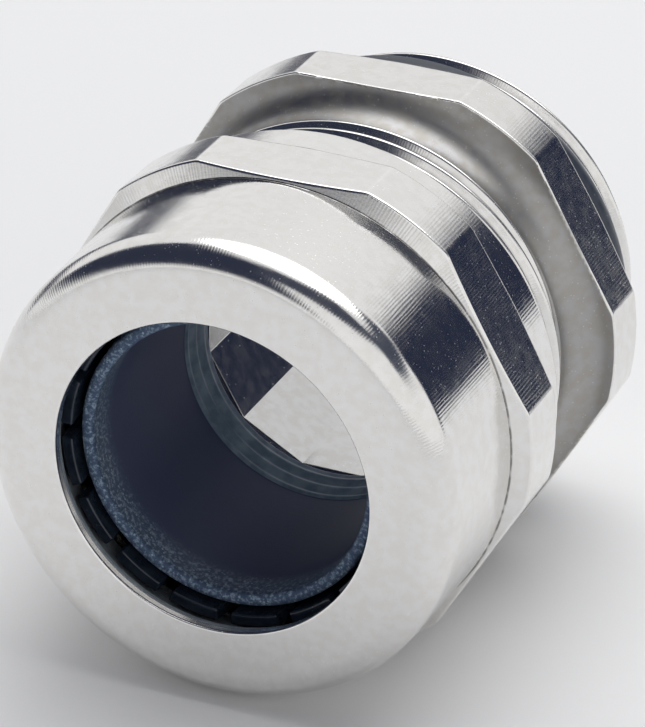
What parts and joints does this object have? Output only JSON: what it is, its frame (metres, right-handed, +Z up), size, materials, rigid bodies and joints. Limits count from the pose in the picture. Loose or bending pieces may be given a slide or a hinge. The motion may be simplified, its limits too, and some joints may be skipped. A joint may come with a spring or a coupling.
{
  "type": "cable gland",
  "caption": "Nickel-plated brass cable gland: domed hexagon nut over a flexible clamping cage and rubber seal, hexagon body with a short sealed metric connection thread.",
  "frame": {"origin": "on the floor plane under the middle of the gland, which lies on one flat of each hexagon: the centre of the box's bottom face", "axes": "+Y along the gland's axis, from the cable side to the connection thread; +Z up, square to the top flats of both hexagons; +X to the right seen from the cable side"},
  "size_m": [0.0382, 0.042, 0.036],
  "materials": {
    "nut_nickel": "nickel-plated turned brass, satin with fine chatter marks",
    "body_nickel": "nickel-plated turned brass, satin, polished in the bore",
    "slip_ring_polyamide": "smooth grey polyamide",
    "cage_polyamide": "glossy dark polyamide",
    "seal_rubber": "dark moulded rubber, dusty on its front rim",
    "o_ring_rubber": "smooth dark rubber with a soft shine"
  },
  "bodies": {
    "gland_body": {"gland_body": "body_nickel", "clamping_cage": "cage_polyamide", "sealing_insert": "seal_rubber", "connection_o_ring": "o_ring_rubber"},
    "slip_ring": {"slip_ring": "slip_ring_polyamide"},
    "dome_nut": {"dome_nut": "nut_nickel"},
    "clamp_finger_01": {"clamp_finger_01": "cage_polyamide"},
    "clamp_finger_02": {"clamp_finger_02": "cage_polyamide"},
    "clamp_finger_03": {"clamp_finger_03": "cage_polyamide"},
    "clamp_finger_04": {"clamp_finger_04": "cage_polyamide"},
    "clamp_finger_05": {"clamp_finger_05": "cage_polyamide"},
    "clamp_finger_06": {"clamp_finger_06": "cage_polyamide"},
    "clamp_finger_07": {"clamp_finger_07": "cage_polyamide"},
    "clamp_finger_08": {"clamp_finger_08": "cage_polyamide"},
    "clamp_finger_09": {"clamp_finger_09": "cage_polyamide"},
    "clamp_finger_10": {"clamp_finger_10": "cage_polyamide"},
    "clamp_finger_11": {"clamp_finger_11": "cage_polyamide"},
    "clamp_finger_12": {"clamp_finger_12": "cage_polyamide"},
    "clamp_finger_13": {"clamp_finger_13": "cage_polyamide"},
    "clamp_finger_14": {"clamp_finger_14": "cage_polyamide"},
    "clamp_finger_15": {"clamp_finger_15": "cage_polyamide"},
    "clamp_finger_16": {"clamp_finger_16": "cage_polyamide"}
  },
  "joints": [
    {"name": "nut_travel", "type": "slide", "parent": "gland_body", "child": "slip_ring", "axis": [0, 1, 0], "range_m": [-0.0046, 0.0009]},
    {"name": "nut_turn", "type": "hinge", "parent": "slip_ring", "child": "dome_nut", "pos_m": [0, -0.0071, 0.018], "axis": [0, 1, 0], "range_deg": [-1080, 180]},
    {"name": "clamp_finger_01_flex", "type": "hinge", "parent": "gland_body", "child": "clamp_finger_01", "pos_m": [0.00254, -0.0116, 0.03075], "axis": [0.9808, 0, -0.1951], "range_deg": [-10.5, 2]},
    {"name": "clamp_finger_02_flex", "type": "hinge", "parent": "gland_body", "child": "clamp_finger_02", "pos_m": [0.00722, -0.0116, 0.02881], "axis": [0.8315, 0, -0.5556], "range_deg": [-10.5, 2]},
    {"name": "clamp_finger_03_flex", "type": "hinge", "parent": "gland_body", "child": "clamp_finger_03", "pos_m": [0.01081, -0.0116, 0.02522], "axis": [0.5556, 0, -0.8315], "range_deg": [-10.5, 2]},
    {"name": "clamp_finger_04_flex", "type": "hinge", "parent": "gland_body", "child": "clamp_finger_04", "pos_m": [0.01275, -0.0116, 0.02054], "axis": [0.1951, 0, -0.9808], "range_deg": [-10.5, 2]},
    {"name": "clamp_finger_05_flex", "type": "hinge", "parent": "gland_body", "child": "clamp_finger_05", "pos_m": [0.01275, -0.0116, 0.01546], "axis": [-0.1951, 0, -0.9808], "range_deg": [-10.5, 2]},
    {"name": "clamp_finger_06_flex", "type": "hinge", "parent": "gland_body", "child": "clamp_finger_06", "pos_m": [0.01081, -0.0116, 0.01078], "axis": [-0.5556, 0, -0.8315], "range_deg": [-10.5, 2]},
    {"name": "clamp_finger_07_flex", "type": "hinge", "parent": "gland_body", "child": "clamp_finger_07", "pos_m": [0.00722, -0.0116, 0.00719], "axis": [-0.8315, 0, -0.5556], "range_deg": [-10.5, 2]},
    {"name": "clamp_finger_08_flex", "type": "hinge", "parent": "gland_body", "child": "clamp_finger_08", "pos_m": [0.00254, -0.0116, 0.00525], "axis": [-0.9808, 0, -0.1951], "range_deg": [-10.5, 2]},
    {"name": "clamp_finger_09_flex", "type": "hinge", "parent": "gland_body", "child": "clamp_finger_09", "pos_m": [-0.00254, -0.0116, 0.00525], "axis": [-0.9808, 0, 0.1951], "range_deg": [-10.5, 2]},
    {"name": "clamp_finger_10_flex", "type": "hinge", "parent": "gland_body", "child": "clamp_finger_10", "pos_m": [-0.00722, -0.0116, 0.00719], "axis": [-0.8315, 0, 0.5556], "range_deg": [-10.5, 2]},
    {"name": "clamp_finger_11_flex", "type": "hinge", "parent": "gland_body", "child": "clamp_finger_11", "pos_m": [-0.01081, -0.0116, 0.01078], "axis": [-0.5556, 0, 0.8315], "range_deg": [-10.5, 2]},
    {"name": "clamp_finger_12_flex", "type": "hinge", "parent": "gland_body", "child": "clamp_finger_12", "pos_m": [-0.01275, -0.0116, 0.01546], "axis": [-0.1951, 0, 0.9808], "range_deg": [-10.5, 2]},
    {"name": "clamp_finger_13_flex", "type": "hinge", "parent": "gland_body", "child": "clamp_finger_13", "pos_m": [-0.01275, -0.0116, 0.02054], "axis": [0.1951, 0, 0.9808], "range_deg": [-10.5, 2]},
    {"name": "clamp_finger_14_flex", "type": "hinge", "parent": "gland_body", "child": "clamp_finger_14", "pos_m": [-0.01081, -0.0116, 0.02522], "axis": [0.5556, 0, 0.8315], "range_deg": [-10.5, 2]},
    {"name": "clamp_finger_15_flex", "type": "hinge", "parent": "gland_body", "child": "clamp_finger_15", "pos_m": [-0.00722, -0.0116, 0.02881], "axis": [0.8315, 0, 0.5556], "range_deg": [-10.5, 2]},
    {"name": "clamp_finger_16_flex", "type": "hinge", "parent": "gland_body", "child": "clamp_finger_16", "pos_m": [-0.00254, -0.0116, 0.03075], "axis": [0.9808, 0, 0.1951], "range_deg": [-10.5, 2]}
  ],
  "couplings": [
    {"joint": "nut_travel", "follows": "nut_turn", "m_per_rad": 0.00023873},
    {"joint": "clamp_finger_01_flex", "follows": "nut_turn", "ratio": 0.0093},
    {"joint": "clamp_finger_02_flex", "follows": "nut_turn", "ratio": 0.0093},
    {"joint": "clamp_finger_03_flex", "follows": "nut_turn", "ratio": 0.0093},
    {"joint": "clamp_finger_04_flex", "follows": "nut_turn", "ratio": 0.0093},
    {"joint": "clamp_finger_05_flex", "follows": "nut_turn", "ratio": 0.0093},
    {"joint": "clamp_finger_06_flex", "follows": "nut_turn", "ratio": 0.0093},
    {"joint": "clamp_finger_07_flex", "follows": "nut_turn", "ratio": 0.0093},
    {"joint": "clamp_finger_08_flex", "follows": "nut_turn", "ratio": 0.0093},
    {"joint": "clamp_finger_09_flex", "follows": "nut_turn", "ratio": 0.0093},
    {"joint": "clamp_finger_10_flex", "follows": "nut_turn", "ratio": 0.0093},
    {"joint": "clamp_finger_11_flex", "follows": "nut_turn", "ratio": 0.0093},
    {"joint": "clamp_finger_12_flex", "follows": "nut_turn", "ratio": 0.0093},
    {"joint": "clamp_finger_13_flex", "follows": "nut_turn", "ratio": 0.0093},
    {"joint": "clamp_finger_14_flex", "follows": "nut_turn", "ratio": 0.0093},
    {"joint": "clamp_finger_15_flex", "follows": "nut_turn", "ratio": 0.0093},
    {"joint": "clamp_finger_16_flex", "follows": "nut_turn", "ratio": 0.0093}
  ]
}
